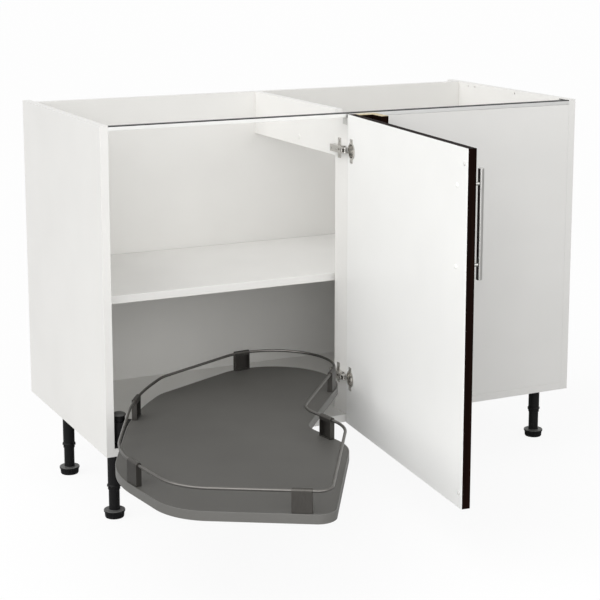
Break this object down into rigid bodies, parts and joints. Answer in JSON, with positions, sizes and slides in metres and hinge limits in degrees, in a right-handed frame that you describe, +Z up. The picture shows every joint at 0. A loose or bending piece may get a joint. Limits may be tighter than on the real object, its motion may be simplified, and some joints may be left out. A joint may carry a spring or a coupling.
{
  "type": "corner base cabinet",
  "caption": "Blind-corner base cabinet with an open dark door, a shelf and a kidney-shaped tray that swings out of the lower compartment.",
  "frame": {"origin": "centre of the front left foot's underside, on the floor", "axes": "+X to the right along the front, +Y to the wall behind, +Z up"},
  "size_m": [1.335, 1.352, 0.87],
  "materials": {
    "white_melamine": "satin",
    "wenge": "satin",
    "brushed_steel": "satin",
    "nickel": "polished",
    "black_plastic": "matte",
    "grey_laminate": "matte",
    "light_edging": "satin",
    "clear_bumper": "soft"
  },
  "bodies": {
    "cabinet": {"side_panel_left": "white_melamine", "side_panel_right": "white_melamine", "bottom_panel": "white_melamine", "back_panel": "white_melamine", "blank_panel": "white_melamine", "mid_post": "white_melamine", "cross_rail": "white_melamine", "rail_screw_cap": "white_melamine", "front_rail": "brushed_steel", "rail_bracket": "brushed_steel", "shelf": "white_melamine", "shelf_pegs": "nickel", "corner_post_face": "wenge", "corner_post_return": "wenge", "leg_sleeves": "black_plastic", "leg_plate_screws": "brushed_steel", "hinge_plates": "nickel", "hinge_arms": "nickel", "hinge_noses": "nickel", "hinge_screws": "brushed_steel", "column_base": "black_plastic", "base_screws": "brushed_steel", "pivot_column": "black_plastic", "column_cap": "black_plastic"},
    "door": {"door_board": "wenge", "door_liner": "white_melamine", "door_bumpers": "clear_bumper", "hinge_cups": "nickel", "cup_screws": "brushed_steel", "handle_bar": "brushed_steel", "handle_posts": "brushed_steel", "handle_screws": "brushed_steel"},
    "arm": {"swing_arm": "black_plastic", "elbow_pin": "brushed_steel"},
    "link": {"link_arm": "black_plastic"},
    "tray": {"tray_carrier": "black_plastic", "carrier_pin": "brushed_steel", "carrier_screws": "brushed_steel", "tray_board": "grey_laminate", "tray_edging": "light_edging", "tray_rail": "brushed_steel", "rail_clips": "light_edging"},
    "foot_front_left": {"foot_front_left": "black_plastic"},
    "foot_back_left": {"foot_back_left": "black_plastic"},
    "foot_front_right": {"foot_front_right": "black_plastic"},
    "foot_back_right": {"foot_back_right": "black_plastic"}
  },
  "joints": [
    {"name": "door_swing", "type": "hinge", "parent": "cabinet", "child": "door", "pos_m": [0.562, -0.052, 0.5], "axis": [0, 0, 1], "range_deg": [-10, 18]},
    {"name": "arm_swing", "type": "hinge", "parent": "cabinet", "child": "arm", "pos_m": [0.01, -0.013, 0.22], "axis": [0, 0, 1], "range_deg": [0, 34]},
    {"name": "link_swing", "type": "hinge", "parent": "arm", "child": "link", "pos_m": [0.286, -0.217, 0.225], "axis": [0, 0, 1], "range_deg": [-69.7, 0]},
    {"name": "tray_swivel", "type": "hinge", "parent": "link", "child": "tray", "pos_m": [0.036, -0.218, 0.24], "axis": [0, 0, 1], "range_deg": [0, 44.2]},
    {"name": "foot_front_left_adjust", "type": "slide", "parent": "cabinet", "child": "foot_front_left", "axis": [0, 0, -1], "range_m": [0, 0.02]},
    {"name": "foot_back_left_adjust", "type": "slide", "parent": "cabinet", "child": "foot_back_left", "axis": [0, 0, -1], "range_m": [0, 0.02]},
    {"name": "foot_front_right_adjust", "type": "slide", "parent": "cabinet", "child": "foot_front_right", "axis": [0, 0, -1], "range_m": [0, 0.02]},
    {"name": "foot_back_right_adjust", "type": "slide", "parent": "cabinet", "child": "foot_back_right", "axis": [0, 0, -1], "range_m": [0, 0.02]}
  ],
  "couplings": [
    {"joint": "link_swing", "follows": "arm_swing", "ratio": -2.05},
    {"joint": "tray_swivel", "follows": "arm_swing", "ratio": 1.3}
  ]
}
